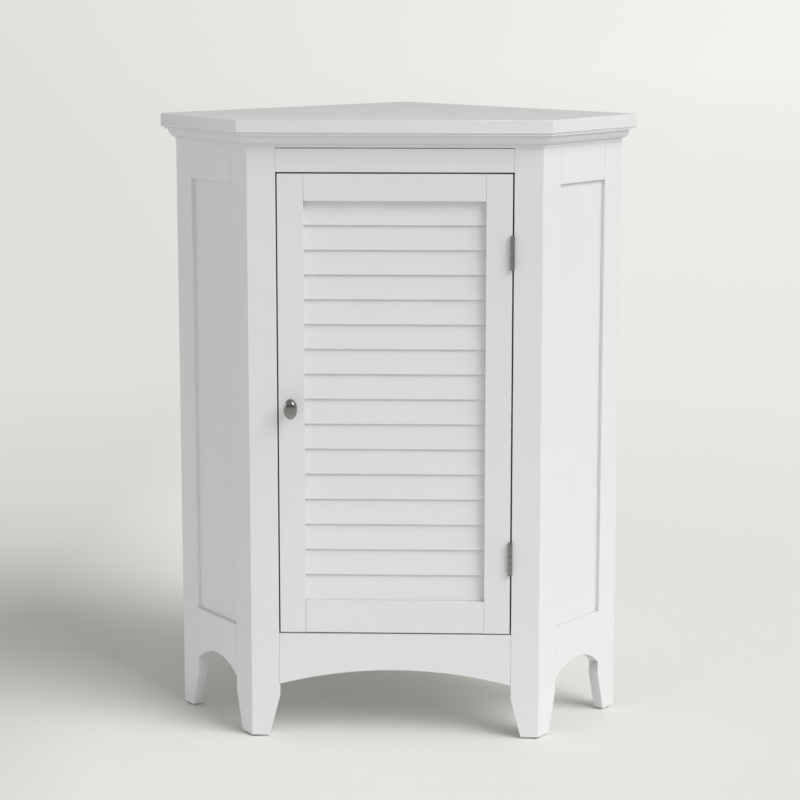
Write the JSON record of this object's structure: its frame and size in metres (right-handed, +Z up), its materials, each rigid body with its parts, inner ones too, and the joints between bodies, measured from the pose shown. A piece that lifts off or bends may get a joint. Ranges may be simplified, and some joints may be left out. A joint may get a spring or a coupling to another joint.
{
  "type": "corner bathroom cabinet",
  "caption": "White painted five-sided corner cabinet on short arched feet, with a flat top over a quarter-round moulding and a hinged louvered door in front of a shelf.",
  "frame": {"origin": "on the floor, in the middle of the whole part's plan", "axes": "+Z up; -Y is the side with the door; +X to the right when facing the door, which is the hinge side"},
  "size_m": [0.6288, 0.4682, 0.813],
  "materials": {
    "white_paint": "satin white paint on wood",
    "bare_wood": "plain sawn softwood, unfinished",
    "dowel_wood": "plain beech",
    "nickel": "satin nickel plate",
    "zinc_steel": "bright zinc plate",
    "white_plastic": "moulded white plastic",
    "magnet": "dull ferrite",
    "glide_plastic": "moulded grey plastic"
  },
  "bodies": {
    "carcass": {"back_corner_post": "white_paint", "back_panel_left": "white_paint", "back_panel_nails": "zinc_steel", "back_panel_right": "white_paint", "bottom_cleats": "bare_wood", "bottom_panel": "white_paint", "carcass_screws": "zinc_steel", "catch_block": "bare_wood", "catch_housing": "white_plastic", "catch_magnet": "magnet", "crown_front": "white_paint", "crown_side_left": "white_paint", "crown_side_right": "white_paint", "foot_glides": "glide_plastic", "frame_dowels": "dowel_wood", "front_apron": "white_paint", "front_post_left": "white_paint", "front_post_right": "white_paint", "front_top_rail": "white_paint", "hinge_frame_leaves": "nickel", "hinge_pins": "nickel", "rear_post_left": "white_paint", "rear_post_right": "white_paint", "shelf": "white_paint", "shelf_pins": "zinc_steel", "side_bottom_rail_left": "white_paint", "side_bottom_rail_right": "white_paint", "side_panel_left": "white_paint", "side_panel_right": "white_paint", "side_top_rail_left": "white_paint", "side_top_rail_right": "white_paint", "top_blocks": "bare_wood", "top_panel": "white_paint", "top_screws": "zinc_steel"},
    "door": {"door_bottom_rail": "white_paint", "door_dowels": "dowel_wood", "door_knob": "nickel", "door_screws": "zinc_steel", "door_stile_left": "white_paint", "door_stile_right": "white_paint", "door_top_rail": "white_paint", "hinge_door_leaves": "nickel", "knob_screw": "zinc_steel", "louver_slat_01": "white_paint", "louver_slat_02": "white_paint", "louver_slat_03": "white_paint", "louver_slat_04": "white_paint", "louver_slat_05": "white_paint", "louver_slat_06": "white_paint", "louver_slat_07": "white_paint", "louver_slat_08": "white_paint", "louver_slat_09": "white_paint", "louver_slat_10": "white_paint", "louver_slat_11": "white_paint", "louver_slat_12": "white_paint", "louver_slat_13": "white_paint", "louver_slat_14": "white_paint", "louver_slat_15": "white_paint", "louver_slat_16": "white_paint", "strike_plate": "zinc_steel"}
  },
  "joints": [
    {"name": "door_hinge", "type": "hinge", "parent": "carcass", "child": "door", "pos_m": [0.14975, -0.2135, 0.4432], "axis": [0, 0, 1], "range_deg": [0, 170]}
  ]
}
